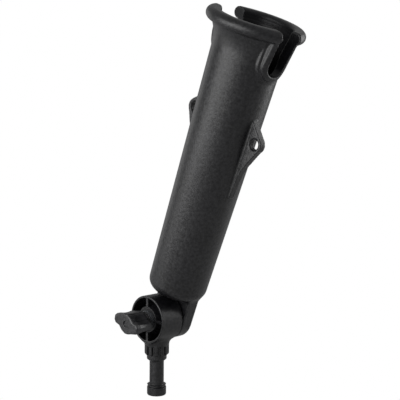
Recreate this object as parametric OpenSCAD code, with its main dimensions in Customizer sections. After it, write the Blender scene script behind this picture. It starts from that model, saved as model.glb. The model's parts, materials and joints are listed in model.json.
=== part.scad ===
// Tube rod holder on a splined post.
// Frame: +Z up along the post, +X along the hinge axis towards the arm, the tube leans towards -Y.
// Origin: on the post's axis, at the middle of the guide land of the post's tip.

/* [Post] */
// Height of the hinge axis above the middle of the tip's guide land
hinge_z = 66.2; // [60:0.2:75]
// Radius of the guide land at the tip
tip_r = 8.8; // [8:0.1:9.5]
// Length of the guide land
tip_land = 8.4; // [7:0.2:10]
// Radius of the smooth shank
shank_r = 6.6; // [6:0.1:7]
// Outer radius of the spline ribs
spline_r = 11.2; // [10.5:0.1:12]
// Radius of the core under the spline ribs
core_r = 9.1; // [8.6:0.1:9.4]
// Number of spline ribs
spline_count = 12; // [8:1:16]
// Radius of the hinge drum
drum_r = 21.6; // [21:0.1:23]
// Wall of the hinge drum
drum_wall = 2; // [1.6:0.1:2.6]

/* [Tube] */
// Lean of the tube from the post's axis, in degrees
lean = 21.5; // [5:0.5:35]
// Offset of the tube's axis along the hinge axis
tube_x = 16.7; // [15:0.1:18]
// Offset of the tube's axis towards the back of the hinge
tube_back = 2.2; // [0:0.1:4]
// Distance from the hinge axis to the bottom of the tube
tube_low = 25; // [24:0.5:30]
// Distance from the hinge axis to the top of the rim
tube_top = 284; // [240:1:300]
// Outer radius at the bottom of the tube
tube_r_low = 26.8; // [26:0.1:28]
// Outer radius that the taper would reach at the top of the tube
tube_r_top = 31.5; // [30:0.1:33]
// Wall of the tube
tube_wall = 3.8; // [3:0.1:4.5]
// Radius of the rolled bead at the rim
bead_r = 5.3; // [4.8:0.1:6]
// Radius of the drain hole in the floor
drain_r = 4.5; // [3:0.5:5]

/* [Slots] */
// Half width of the front slot
front_slot_w = 9.5; // [8:0.5:10]
// Depth of the front slot below the top of the rim
front_slot_h = 39; // [34:1:44]
// Half width of the rear slot
rear_slot_w = 13.4; // [12:0.2:15]
// Depth of the rear slot below the top of the rim
rear_slot_h = 35; // [32:1:40]
// Width of the raised border around each slot
border_w = 4.8; // [4:0.2:5.6]
// Width of the lower step around the raised border
border_step = 2; // [1:0.5:3]

/* [Ears] */
// Distance from the hinge axis to the centre of the front tether hole, along the tube
ear_s = 187.5; // [170:0.5:200]
// Distance that the rear ear sits above the front one
ear_step = 3; // [0:0.5:5]
// Height of the tether holes above the tube's wall
ear_h = 8.4; // [8:0.1:10]
// Thickness of the ears
ear_t = 6.5; // [5:0.1:8]
// Radius of the tether holes
ear_hole_r = 4.5; // [3.5:0.1:5]

/* [Hinge] */
// Outer radius of the arm's round end
arm_r = 21; // [20:0.1:22]
// Travel of the arm when the teeth are released
stroke = 1.2; // [1:0.1:1.4]
// Number of locking teeth
tooth_count = 24; // [18:6:24]
// Radius of the hinge bolt's shank
bolt_r = 3.1; // [3:0.05:3.2]
// Clear space around the bolt
bolt_gap = 0.08; // [0.05:0.01:0.1]

/* [Hidden] */

$fn = 96;
far = 60;                          // reach of a cutter that only has to pass right through
face_gap = 0.1;                    // gap between flat faces that turn on each other

// Post, heights measured from the hinge axis
tip_round = 2.3;
tip_top_round = 0.9;
tip_low_z = -hinge_z - tip_land / 2 - tip_round;
tip_high_z = -hinge_z + tip_land / 2 + tip_top_round;
core_low_z = -41.3;
core_cone_h = 2.6;
spline_low_z = -34.4;
spline_round_h = 2.4;
neck_z = -24.4;
neck_r = 16.5;
rib_w = 3.2;

// Drum, along the hinge axis
drum_x0 = -12.8;
drum_x1 = 11.9;
web_t = 4;
rib_t = 2.6;
rib_sink = 0.4;
boss_r = 11.5;
boss_x0 = -12;
edge_round = 1;
spring_pocket_r = 8.6;
spring_pocket_x = 3.9;

// Locking teeth
tooth_r0 = 9.6;
tooth_r1 = 18.2;
tooth_h = 1.1;
tooth_base = 1.5;
tooth_crest = 0.7;

// Arm, along the hinge axis
arm_x0 = drum_x1 + stroke + 0.2;
arm_x1 = 25;
arm_up = 29;
washer_seat_r = 8.6;
washer_seat_h = 1.5;
hex_af = 11.2;
hex_gap = 0.15;
head_h = 4.2;
pocket_h = 5.6;
core_pocket_r0 = 9.4;
core_pocket_r1 = 17.8;
core_pocket_h = 6;

// Bolt, washers and spring
washer_r = 8.2;
washer_bore = bolt_r + 0.1;
thrust_t = 1.6;
knob_washer_t = 1.5;
bolt_end_x = -30.2;
spring_wire = 1.3;
spring_mean_r = 6.3;
spring_turns = 3.5;
spring_x1 = arm_x0 + washer_seat_h - face_gap - thrust_t;
spring_x0 = spring_pocket_x + stroke + face_gap;

// Knob, along the hinge axis
flange_x1 = boss_x0 - knob_washer_t - 2 * face_gap;
flange_t = 1.5;
flange_r = 7.6;
hub_t = 2;
hub_r = 6.8;
knob_x0 = -38;
knob_tilt = 6;
knob_dimple_r = 2.8;
knob_dimple_h = 1.2;
insert_r = 4.7;
insert_x0 = -33;
insert_groove = 0.5;

// Tube, distances along its axis measured from the hinge axis
floor_t = 5;
floor_round = 9;
seat_top = 56;
drain_x = -10.5;
bore_round = 6;
bead_c_r = 37.4;
bead_c_s = tube_top - bead_r;
cove_s = 256;
cove_h = 17;
cove_r = 5;
lip_in_r = 31;
lip_round = 4;
flare_s = tube_top - 22;
border_low = 3.8;
border_high = 10.4;
border_step_share = 0.34;
rear_border_share = 0.5;
hole_chamfer = 1;
ear_round = 7.7;
ear_tip_s = 14.5;
ear_tail_s = 54;

// Points of an arc about [x, y], from angle a to angle b
function arc(x, y, r, a, b, n = 10) = [for (i = [0:n]) let (t = a + (b - a) * i / n) [x + r * cos(t), y + r * sin(t)]];

// Outer radius of the tapered tube at a distance along its axis
function tube_r(s) = tube_r_low + (tube_r_top - tube_r_low) * (s - tube_low) / (tube_top - tube_low);

// Frames ---------------------------------------------------------------

// Moves children from hinge-centred axes to the row's origin
module at_hinge() { translate([0, 0, hinge_z]) children(); }

// Leans children from the post's axis to the tube's axis
module leaned() { at_hinge() rotate([lean, 0, 0]) children(); }

// Puts children on the tube's own axis
module on_tube() { leaned() translate([tube_x, tube_back, 0]) children(); }

// Turns a shape drawn along +Z so that it runs along +X
module along_x() { rotate([90, 0, 90]) children(); }

// A disc or tube along X, from x0 to x1
module x_disc(r, x0, x1) { translate([x0, 0, 0]) along_x() cylinder(r = r, h = x1 - x0); }

// A ring along X, from x0 to x1
module x_ring(r0, r1, x0, x1) {
    difference() {
        x_disc(r1, x0, x1);
        x_disc(r0, x0 - 1, x1 + 1);
    }
}

// Hinge teeth ----------------------------------------------------------

// Ring of radial teeth on the plane at x, standing towards +X or -X
module teeth(x, side, turn) {
    intersection() {
        x_ring(tooth_r0, tooth_r1, x - tooth_h - 1, x + tooth_h + 1);
        for (i = [0:tooth_count - 1]) {
            rotate([turn + i * 360 / tooth_count, 0, 0]) translate([x, 0, 0])
                linear_extrude(height = tooth_r1 + 1)
                    polygon([[-0.4 * side, -tooth_base / 2], [tooth_h * side, -tooth_crest / 2],
                             [tooth_h * side, tooth_crest / 2], [-0.4 * side, tooth_base / 2]]);
        }
    }
}

// Post -----------------------------------------------------------------

// Barrel of the hinge with softened outer edges
module drum_outer() {
    along_x() rotate_extrude()
        polygon(concat([[0, drum_x0], [drum_r - 0.4, drum_x0], [drum_r, drum_x0 + 0.4]],
                       arc(drum_r - edge_round, drum_x1 - edge_round, edge_round, 0, 90, 4),
                       [[0, drum_x1]]));
}

// Four deep pockets around the boss, parted by ribs
module drum_pockets() {
    difference() {
        x_ring(boss_r, drum_r - drum_wall, drum_x0 - 1, drum_x1 - web_t);
        for (a = [0, 90]) {
            rotate([a, 0, 0])
                translate([drum_x0 + rib_sink, -far, -rib_t / 2])
                    cube([far, 2 * far, rib_t]);
        }
    }
    x_disc(boss_r + 0.01, drum_x0 - 1, boss_x0);
}

// Turned profile of the tip, shank and core
module post_turned() {
    rotate_extrude()
        polygon(concat(
            [[0, tip_low_z]],
            arc(tip_r - tip_round, tip_low_z + tip_round, tip_round, -90, 0, 6),
            arc(tip_r - tip_top_round, tip_high_z - tip_top_round, tip_top_round, 0, 90, 4),
            [[shank_r, tip_high_z], [shank_r, core_low_z], [core_r, core_low_z + core_cone_h],
             [core_r, neck_z - 1]],
            [[0, neck_z - 1]]));
}

// Flared neck between the spline and the drum, no wider than the drum
module post_neck() {
    intersection() {
        rotate_extrude()
            polygon(concat(
                [[0, neck_z - 1.01], [spline_r, neck_z - 1.01]],
                arc(spline_r + 5, neck_z, 5, 180, 110, 6),
                [[neck_r, -drum_r + 4], [0, -drum_r + 4]]));
        translate([drum_x0, -far, -far]) cube([drum_x1 - drum_x0, 2 * far, far]);
    }
}

// Long ribs of the spline, with rounded lower ends
module spline_ribs() {
    intersection() {
        for (i = [0:spline_count - 1]) {
            rotate([0, 0, 15 + i * 360 / spline_count])
                translate([0, -rib_w / 2, spline_low_z])
                    cube([spline_r + 1, rib_w, neck_z - spline_low_z]);
        }
        rotate_extrude()
            polygon(concat(
                [[core_r - 1, neck_z]],
                [[core_r - 1, spline_low_z], [core_r, spline_low_z]],
                arc(spline_r - spline_round_h, spline_low_z + spline_round_h, spline_round_h, -60, 0, 5),
                [[spline_r, neck_z]]));
    }
}

module post_body() {
    color("#1d1d20") at_hinge() {
        difference() {
            union() {
                drum_outer();
                post_turned();
                post_neck();
                spline_ribs();
            }
            drum_pockets();
            x_disc(bolt_r + bolt_gap, drum_x0 - 1, drum_x1 + 1);
            x_disc(spring_pocket_r, spring_pocket_x, drum_x1 + 1);
            x_ring(tooth_r0 - 2, tooth_r1 + 0.3, drum_x1 - tooth_h, drum_x1 + 1);
        }
        teeth(drum_x1 - tooth_h, 1, 0);
    }
}

// Tube -----------------------------------------------------------------

// Outline of a U slot in the plane of its cutter, widened by w
module slot_outline(half, depth, w) {
    c = tube_top - depth + half;
    translate([0, c]) circle(r = half + w);
    translate([-half - w, c]) square([2 * (half + w), far]);
}

// Straight cutter for a slot, on the front (side = -1) or back (side = 1) of the tube
module slot_prism(half, depth, w, side) {
    intersection() {
        rotate([90, 0, 0]) linear_extrude(height = 2 * far, center = true) slot_outline(half, depth, w);
        translate([-far, side > 0 ? 0 : -far, 0]) cube([2 * far, far, 2 * tube_top]);
    }
}

// Solid of revolution that a raised border is cut from, w wide and at a share of the full height
module border_turned(depth, w, share) {
    low = tube_top - depth - w;
    high = bead_c_s - 4;
    rotate_extrude()
        polygon([[tube_r_low - 4, low], [tube_r(low) + 0.4, low], [tube_r(low) + share * border_low, low + 2.2],
                 [tube_r(high) + share * border_high, high], [tube_r_low - 4, high]]);
}

// One step of the raised border around a slot
module border(half, depth, w, share, side) {
    intersection() {
        slot_prism(half, depth, w, side);
        border_turned(depth, w, share);
    }
}

// Raised border of two steps around a slot
module borders(half, depth, share, side) {
    border(half, depth, border_w, share, side);
    border(half, depth, border_w + border_step, share * border_step_share, side);
}

// Outer skin of the tube, with its bead
module tube_outer() {
    rotate_extrude()
        polygon(concat(
            [[0, tube_low]],
            arc(tube_r(tube_low + floor_round) - floor_round, tube_low + floor_round, floor_round, -90, 0, 10),
            [for (i = [0:8]) let (s = cove_s + cove_h * i / 8) [tube_r(s) + cove_r * pow(i / 8, 2), s]],
            arc(bead_c_r, bead_c_s, bead_r, -80, 90, 16),
            arc(lip_in_r + lip_round, tube_top - lip_round, lip_round, 90, 180, 6),
            [[lip_in_r, tube_top - 8], [0, tube_top - 8]]));
}

// Bore with a rounded floor, a straight seat for the butt and a taper above it
module tube_bore() {
    rotate_extrude()
        polygon(concat(
            [[0, tube_low + floor_t]],
            arc(tube_r(tube_low) - tube_wall - bore_round, tube_low + floor_t + bore_round, bore_round, -90, 0, 6),
            [[tube_r(tube_low) - tube_wall, seat_top],
             [tube_r(flare_s) - tube_wall, flare_s], [lip_in_r, tube_top - 5],
             [lip_in_r, tube_top + 1], [0, tube_top + 1]]));
}

// Distance along the tube to an ear's hole, on the front (side = -1) or back (side = 1)
function ear_at(side) = ear_s + (side > 0 ? ear_step : 0);

// Side outline of a tether ear: x runs along the tube, y away from its axis
module ear_outline(s) {
    r = tube_r(s);
    translate([s, r + ear_h]) circle(r = ear_round);
    polygon([[s - ear_tail_s, r - 2.5], [s - ear_tail_s, r + 0.6], [s - 32, r + 2.4],
             [s - 23, r + 5.2], [s - 5.4, r + ear_h + 5.5], [s, r + ear_h],
             [s + 6.2, r + ear_h + 4.6], [s + ear_tip_s, r + 0.6], [s + ear_tip_s, r - 2.5]]);
}

// Tether ear on the front (side = -1) or back (side = 1) of the tube, without its hole
module ear(side) {
    translate([ear_t / 2, 0, 0]) rotate([0, -90, 0]) linear_extrude(height = ear_t)
        mirror([0, side > 0 ? 0 : 1]) ear_outline(ear_at(side));
}

// Tether hole with a chamfer on both faces
module ear_hole(side) {
    s = ear_at(side);
    translate([0, side * (tube_r(s) + ear_h), s]) rotate([0, 90, 0]) {
        cylinder(r = ear_hole_r, h = 2 * ear_t, center = true);
        for (a = [0, 180]) {
            rotate([a, 0, 0]) translate([0, 0, ear_t / 2 - hole_chamfer])
                cylinder(r1 = ear_hole_r, r2 = ear_hole_r + 2, h = 2);
        }
    }
}

// Flat arm that carries the tube on the hinge
module arm() {
    difference() {
        union() {
            x_disc(arm_r, arm_x0, arm_x1);
            translate([arm_x0, -arm_r, 0]) cube([arm_x1 - arm_x0, 2 * arm_r, arm_up]);
        }
        difference() {
            x_ring(core_pocket_r0, core_pocket_r1, arm_x1 - core_pocket_h, arm_x1 + 1);
            for (a = [45, 135]) {
                rotate([a, 0, 0]) translate([0, -far, -rib_t / 2]) cube([far, 2 * far, rib_t]);
            }
        }
        x_disc(washer_seat_r, arm_x0 - 1, arm_x0 + washer_seat_h);
        x_disc(bolt_r + bolt_gap, arm_x0 - 1, arm_x1 + 1);
        translate([arm_x1 - pocket_h, 0, 0]) along_x()
            cylinder(r = (hex_af / 2 + hex_gap) / cos(30), h = far, $fn = 6);
    }
    teeth(arm_x0, -1, 180 / tooth_count - lean);
}

module rod_tube() {
    color("#1b1b1e") {
        on_tube() {
            difference() {
                union() {
                    tube_outer();
                    ear(-1);
                    ear(1);
                    borders(front_slot_w, front_slot_h, 1, -1);
                    borders(rear_slot_w, rear_slot_h, rear_border_share, 1);
                }
                tube_bore();
                slot_prism(front_slot_w, front_slot_h, 0, -1);
                slot_prism(rear_slot_w, rear_slot_h, 0, 1);
                ear_hole(-1);
                ear_hole(1);
                translate([drain_x, 0, tube_low - 1]) cylinder(r = drain_r, h = floor_t + 2);
            }
        }
        leaned() arm();
    }
}

// Fasteners ------------------------------------------------------------

module hinge_bolt() {
    color("#b9bcc0") leaned() {
        x_disc(bolt_r, bolt_end_x, arm_x1 - pocket_h + 0.5);
        translate([arm_x1 - pocket_h + face_gap, 0, 0]) along_x() intersection() {
            cylinder(r = hex_af / 2 / cos(30), h = head_h, $fn = 6);
            cylinder(r1 = hex_af, r2 = hex_af / 2 - 0.1, h = 2 * head_h);
        }
    }
}

module thrust_washer() {
    color("#d8d4c8") at_hinge() x_ring(washer_bore, washer_r, spring_x1, spring_x1 + thrust_t);
}

module knob_washer() {
    color("#a9adb2") at_hinge()
        x_ring(washer_bore, washer_r, boss_x0 - face_gap - knob_washer_t, boss_x0 - face_gap);
}

// Coil spring at its squeezed length, as one swept ring of points
module release_spring() {
    per_turn = 24;
    sides = 8;
    rings = spring_turns * per_turn;
    run = spring_x1 - spring_x0 - spring_wire;
    points = [for (i = [0:rings]) let (a = 360 * i / per_turn, x = spring_x0 + spring_wire / 2 + run * i / rings)
        for (k = [0:sides - 1]) let (b = 360 * k / sides, r = spring_mean_r + spring_wire / 2 * cos(b))
            [x + spring_wire / 2 * sin(b), r * cos(a), r * sin(a)]];
    skin = [for (i = [0:rings - 1]) for (k = [0:sides - 1])
        [i * sides + k, i * sides + (k + 1) % sides, (i + 1) * sides + (k + 1) % sides, (i + 1) * sides + k]];
    caps = [[for (k = [sides - 1:-1:0]) k], [for (k = [0:sides - 1]) rings * sides + k]];
    color("#c4c7ca") at_hinge() polyhedron(points = points, faces = concat(skin, caps));
}

// Knob -----------------------------------------------------------------

// Face outline of the knob: a round hub with two swept wings
module knob_outline() {
    circle(r = 8.8);
    for (a = [0, 180]) {
        rotate(a) {
            polygon([[-1, 8.7], [3, 8.8], [13.4, 6.2], [14, -2.6], [8, -3.9], [0, -8]]);
            translate([12.6, 3.2]) circle(r = 3);
            translate([12.8, 0.4]) circle(r = 3);
        }
    }
}

module wing_knob() {
    color("#202023") at_hinge() difference() {
        union() {
            translate([knob_x0, 0, 0]) along_x() rotate(knob_tilt)
                linear_extrude(height = flange_x1 - flange_t - hub_t - knob_x0) knob_outline();
            x_disc(hub_r, flange_x1 - flange_t - hub_t - 0.01, flange_x1 - flange_t + 0.01);
            x_disc(flange_r, flange_x1 - flange_t, flange_x1);
        }
        x_disc(insert_r, insert_x0, flange_x1 + 1);
        x_disc(knob_dimple_r, knob_x0 - 1, knob_x0 + knob_dimple_h);
    }
}

// Threaded insert moulded into the knob, with two retaining grooves
module knob_insert() {
    color("#b08d3c") at_hinge() difference() {
        x_disc(insert_r, insert_x0, flange_x1 - 0.3);
        x_disc(bolt_r + bolt_gap, insert_x0 + 1.2, flange_x1 + 1);
        for (x = [insert_x0 + 5, insert_x0 + 11]) {
            x_ring(insert_r - insert_groove, insert_r + 1, x, x + 1.5);
        }
    }
}

rod_tube();
post_body();
hinge_bolt();
release_spring();
thrust_washer();
knob_washer();
wing_knob();
knob_insert();
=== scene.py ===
"""Looks of a tube rod holder on a splined post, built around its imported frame.

The tube, the post and the knob are mouldings whose walls, ribs and lips run into each other with soft
fillets, so each is worked out as the zero level of a distance field on a grid of points. The fields
and the sizes of every class are in millimetres, about the hinge's centre, and the meshes are in
metres, in the frame's own axes.
"""
from __future__ import annotations

import json
import logging
import math
from dataclasses import dataclass, field
from enum import Enum
from typing import Callable, Sequence

import bpy
import numpy as np
from mathutils import Matrix, Vector


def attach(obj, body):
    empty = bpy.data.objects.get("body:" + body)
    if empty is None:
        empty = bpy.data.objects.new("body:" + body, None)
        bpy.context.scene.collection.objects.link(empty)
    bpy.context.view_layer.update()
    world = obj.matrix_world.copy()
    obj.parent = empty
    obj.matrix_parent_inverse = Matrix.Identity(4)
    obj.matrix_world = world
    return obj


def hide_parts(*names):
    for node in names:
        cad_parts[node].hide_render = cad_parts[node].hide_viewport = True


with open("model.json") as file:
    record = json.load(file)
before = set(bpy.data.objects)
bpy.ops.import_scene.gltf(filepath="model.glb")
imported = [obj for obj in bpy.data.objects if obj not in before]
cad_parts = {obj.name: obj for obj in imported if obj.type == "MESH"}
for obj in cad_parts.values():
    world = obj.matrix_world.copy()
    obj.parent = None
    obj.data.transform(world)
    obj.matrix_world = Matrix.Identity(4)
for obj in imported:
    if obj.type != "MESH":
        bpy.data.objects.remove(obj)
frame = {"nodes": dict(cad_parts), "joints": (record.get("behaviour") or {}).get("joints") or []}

log = logging.getLogger("rod_holder")

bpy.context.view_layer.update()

MM = 0.001  # one millimetre in metres
FAR = 50.0  # a distance in millimetres, larger than any that decides a shape
TINY = 1e-9  # keeps a division away from zero
# The attribute also lowers the gloss on those surfaces: painted shade for the dim bore, slots and pockets.
CORED_AND_SHADED = "cored_and_shaded"  # point attribute: 1 on surfaces left by a smooth core, 0 on the grained outside

Array = np.ndarray
Field = Callable[[Array, Array, Array], Array]


class Side(Enum):
    """The side of the tube that a slot or an ear is on, by the sign of its place across the tube."""

    FRONT = -1
    BACK = 1


# Distances --------------------------------------------------------------------------------------


def soft_union(a: Array, b: Array, k: float) -> Array:
    """Joins two solids with a fillet.

    The smaller distance, less a parabola where the two differ by under k.

    Args:
        a: Distance to the first solid.
        b: Distance to the second solid.
        k: Size of the fillet in millimetres.

    Returns:
        Distance to the joined solid.
    """
    h = np.clip(0.5 + 0.5 * (b - a) / k, 0.0, 1.0)
    return b + (a - b) * h - k * h * (1.0 - h)


def round_meet(a: Array, b: Array, r: float) -> Array:
    """Keeps what two solids share, with the edge between them rounded to radius r.

    Past both walls moved in by r, the distance is the length of the two overshoots less r.

    Args:
        a: Distance to the first solid.
        b: Distance to the second solid.
        r: Radius of the edge in millimetres.

    Returns:
        Distance to the shared solid.
    """
    corner = np.hypot(np.maximum(a + r, 0.0), np.maximum(b + r, 0.0))
    return np.minimum(np.maximum(a, b), -r) + corner


def round_cut(a: Array, b: Array, r: float) -> Array:
    """Takes solid b out of solid a, with an edge of radius r."""
    return round_meet(a, -b, r)


def u_outline(x: Array, s: Array, half: float, centre: float) -> Array:
    """Distance to a U-shaped outline that is open upwards.

    Half width against |x| above the centre of the round bottom, and a circle below it.

    Args:
        x: Sideways positions.
        s: Positions along the open direction.
        half: Half width of the U.
        centre: Height of the centre of its round bottom.

    Returns:
        Distance, negative inside the U.
    """
    return np.where(s > centre, np.abs(x), np.hypot(x, s - centre)) - half


def polygon_distance(px: Array, py: Array, points: Sequence[tuple[float, float]]) -> Array:
    """Distance to a closed outline of straight edges.

    The least distance to its edges, with its sign from the number of edges crossed on the way out.

    Args:
        px: First coordinates.
        py: Second coordinates.
        points: Corners of the outline, in order.

    Returns:
        Distance, negative inside the outline.
    """
    best = np.full(px.shape, np.inf)
    inside = np.zeros(px.shape, bool)
    for (ax, ay), (bx, by) in zip(points, list(points[1:]) + [points[0]]):
        ex, ey = bx - ax, by - ay
        t = np.clip(((px - ax) * ex + (py - ay) * ey) / (ex * ex + ey * ey), 0.0, 1.0)
        best = np.minimum(best, (px - ax - t * ex) ** 2 + (py - ay - t * ey) ** 2)
        if ay != by:
            inside ^= ((ay > py) != (by > py)) & (px < ax + (py - ay) * ex / ey)
    return np.where(inside, -1.0, 1.0) * np.sqrt(best)


def steps(*spans: tuple[float, float, float]) -> Array:
    """Grid positions over joined spans.

    Args:
        spans: (start, end, step) of each span, in order.

    Returns:
        Positions from the first start to the last end, evenly spaced in each span.
    """
    parts = [np.linspace(a, b, max(1, round((b - a) / step)), endpoint=False) for a, b, step in spans]
    return np.concatenate(parts + [np.array([spans[-1][1]])])


# Skins ------------------------------------------------------------------------------------------


@dataclass
class Skin:
    """A surface of quads with its exact normals, in millimetres about the hinge's centre."""

    points: Array
    quads: Array
    normals: Array

    @staticmethod
    def slope(solid: Field, p: Array, h: float = 0.04) -> Array:
        """Gradient of a field by central differences."""
        axes = np.eye(3) * h
        return np.stack([(solid(*(p + a).T) - solid(*(p - a).T)) / (2 * h) for a in axes], 1)

    @classmethod
    def of(cls, solid: Field, xs: Array, ys: Array, zs: Array, relax: int = 2) -> Skin:
        """Finds the zero level of a field over a grid of points.

        Each grid cell that the surface passes through gets one point, at the mean of where the surface
        crosses the cell's edges, and each crossed edge gets one quad between the four cells around it.
        The points are then evened out and moved along the field's gradient on to the zero level.

        Args:
            solid: Signed distance, negative inside.
            xs: Grid positions along X.
            ys: Grid positions along Y.
            zs: Grid positions along Z.
            relax: Rounds of evening out.

        Returns:
            The skin.
        """
        grid = (xs, ys, zs)
        value = solid(*np.meshgrid(xs, ys, zs, indexing="ij"))
        cells = np.array([len(g) - 1 for g in grid])
        owners, places, quads, flips = [], [], [], []
        for axis in range(3):
            # The grid's edges along this axis that the surface crosses, and where it crosses them.
            low = np.moveaxis(value, axis, 0)[:-1]
            high = np.moveaxis(value, axis, 0)[1:]
            i, j, k = np.nonzero((low < 0) != (high < 0))
            t = low[i, j, k] / (low[i, j, k] - high[i, j, k])
            other = [a for a in range(3) if a != axis]
            node = np.zeros((len(i), 3), int)
            node[:, axis], node[:, other[0]], node[:, other[1]] = i, j, k
            place = np.stack([grid[a][node[:, a]] for a in range(3)], 1)
            place[:, axis] += t * (grid[axis][i + 1] - grid[axis][i])
            # The four cells around each crossed edge, in turn.
            turn = ((axis + 1) % 3, (axis + 2) % 3)
            around = []
            for da, db in ((-1, -1), (0, -1), (0, 0), (-1, 0)):
                cell = node.copy()
                cell[:, turn[0]] += da
                cell[:, turn[1]] += db
                around.append(np.ravel_multi_index(np.clip(cell, 0, cells - 1).T, cells))
                owners.append(around[-1])
                places.append(place)
            quads.append(np.stack(around, 1))
            flips.append(low[i, j, k] >= 0)
        # One point in each crossed cell, and the quads' faces turned outwards.
        owner, index = np.unique(np.concatenate(owners), return_inverse=True)
        place = np.concatenate(places)
        share = np.bincount(index)
        points = np.stack([np.bincount(index, place[:, c]) / share for c in range(3)], 1)
        faces = np.searchsorted(owner, np.concatenate(quads))
        flip = np.concatenate(flips)
        faces[flip] = faces[flip, ::-1]
        # Evening out and moving on to the surface, never by more than half a cell at a time.
        reach = 0.5 * min(np.diff(g).min() for g in grid)
        for round_ in range(relax + 1):
            if round_:
                points = cls._evened(points, faces)
            for _ in range(3):
                n = cls.slope(solid, points)
                n /= np.maximum((n * n).sum(1, keepdims=True), 0.05)
                move = n * solid(*points.T)[:, None]
                length = np.linalg.norm(move, axis=1, keepdims=True)
                points = points - move * np.minimum(1.0, reach / np.maximum(length, TINY))
        normals = cls.slope(solid, points)
        normals /= np.maximum(np.linalg.norm(normals, axis=1, keepdims=True), TINY)
        return cls(points, faces, normals)

    @staticmethod
    def _evened(points: Array, faces: Array) -> Array:
        """Moves each point half way to the mean of the points that it shares a quad's edge with.

        Args:
            points: Places of the points.
            faces: The quads, as rows of four point numbers.

        Returns:
            The points' new places.
        """
        a = faces.ravel()
        b = np.roll(faces, -1, axis=1).ravel()
        ends, others = np.concatenate([a, b]), np.concatenate([b, a])
        share = np.bincount(ends, minlength=len(points))[:, None]
        total = np.stack([np.bincount(ends, points[others, c], len(points)) for c in range(3)], 1)
        return 0.5 * points + 0.5 * total / np.maximum(share, 1)

    def leaned(self, degrees: float) -> Skin:
        """The same skin turned about the hinge's axis."""
        turn = np.array(Matrix.Rotation(math.radians(degrees), 3, "X"))
        return Skin(self.points @ turn.T, self.quads, self.normals @ turn.T)

    def piece(self, name: str, cored_and_shaded: Array | None = None) -> bpy.types.Object:
        """Makes a Blender object in the frame's axes.

        Args:
            name: Name of the object.
            cored_and_shaded: How far each point belongs to a surface left by a smooth core, from 0 to 1;
            the material also lowers the gloss there, as painted shade.

        Returns:
            The object, with smooth faces and the skin's own normals.
        """
        mesh = bpy.data.meshes.new(name)
        mesh.from_pydata((self.points * MM + HINGE).tolist(), [], self.quads.tolist())
        mesh.polygons.foreach_set("use_smooth", np.ones(len(mesh.polygons), bool))
        mesh.validate()
        if cored_and_shaded is not None:
            share = mesh.attributes.new(CORED_AND_SHADED, "FLOAT", "POINT")
            share.data.foreach_set("value", cored_and_shaded.astype(np.float32))
        mesh.normals_split_custom_set_from_vertices(self.normals.tolist())
        mesh.update()
        return stand(name, mesh)


def stand(name: str, data: bpy.types.ID) -> bpy.types.Object:
    """Makes an object and links it to the scene.

    Args:
        name: Name of the object.
        data: Its mesh, light or camera.

    Returns:
        The object.
    """
    made = bpy.data.objects.new(name, data)
    bpy.context.scene.collection.objects.link(made)
    return made


HINGE = np.array(next(j["pos_m"] for j in frame["joints"] if j["name"] == "tube_pitch"))


# Materials --------------------------------------------------------------------------------------


def linear(code: str) -> tuple[float, float, float, float]:
    """Linear colour of an sRGB hex code such as "#1c1c1f"."""
    parts = [int(code[i:i + 2], 16) / 255 for i in (1, 3, 5)]
    return tuple(c / 12.92 if c <= 0.04045 else ((c + 0.055) / 1.055) ** 2.4 for c in parts) + (1.0,)


def blank_material(name: str) -> tuple[bpy.types.Material, bpy.types.NodeTree]:
    """Makes a material with an empty node tree.

    Args:
        name: Name of the material.

    Returns:
        The material and its node tree.
    """
    material = bpy.data.materials.new(name)
    material.use_nodes = True
    material.node_tree.nodes.clear()
    return material, material.node_tree


def add_node(tree: bpy.types.NodeTree, kind: str, inputs: dict[str | int, object] | None = None,
             **settings: object) -> bpy.types.Node:
    """Adds a node to a tree.

    Args:
        tree: The node tree.
        kind: Blender's name of the node's type.
        inputs: Value of each input by its name or number, or the socket it is linked from.
        settings: The node's own properties.

    Returns:
        The node.
    """
    node = tree.nodes.new(kind)
    for key, value in settings.items():
        setattr(node, key, value)
    for key, value in (inputs or {}).items():
        if isinstance(value, bpy.types.NodeSocket):
            tree.links.new(value, node.inputs[key])
        else:
            node.inputs[key].default_value = value
    return node


def per_metre(mm: float) -> float:
    """Noise scale that gives features of a size in millimetres on coordinates in metres."""
    return 1.0 / (mm * MM)


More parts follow.
